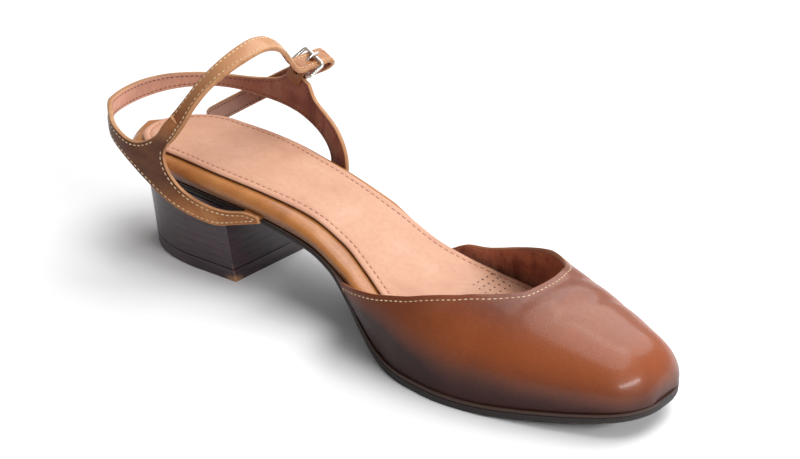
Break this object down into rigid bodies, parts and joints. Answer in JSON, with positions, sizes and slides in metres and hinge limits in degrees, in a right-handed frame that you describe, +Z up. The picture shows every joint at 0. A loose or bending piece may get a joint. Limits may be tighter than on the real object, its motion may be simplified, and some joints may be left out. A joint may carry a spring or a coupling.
{
  "type": "slingback sandal",
  "caption": "Left closed-toe slingback with a square toe, a low block heel, a rolled platform edge, a forked heel sling and a buckled ankle strap.",
  "frame": {"origin": "middle of the heel's tread, on the floor that heel and forefoot stand on", "axes": "+X towards the toe, +Y towards the outer side of the left foot, +Z up"},
  "size_m": [0.2622, 0.0977, 0.0959],
  "materials": {
    "outsole": "satin, near-black brown",
    "heel_block": "polished stacked layers, dark espresso",
    "heel_top_piece": "matt, black brown",
    "platform": "smooth, golden tan",
    "footbed_cover": "matt lining leather, peach",
    "vamp": "burnished, warm brown",
    "strap_harness": "smooth, caramel, with cream stitching",
    "buckle": "polished silver",
    "buckle_tab": "smooth, brown"
  },
  "bodies": {
    "root": {"outsole": "outsole", "heel_block": "heel_block", "heel_top_piece": "heel_top_piece", "platform": "platform", "footbed_cover": "footbed_cover", "vamp": "vamp", "strap_harness": "strap_harness", "buckle_frame": "buckle", "buckle_prong": "buckle", "buckle_tab": "buckle_tab"}
  },
  "joints": []
}
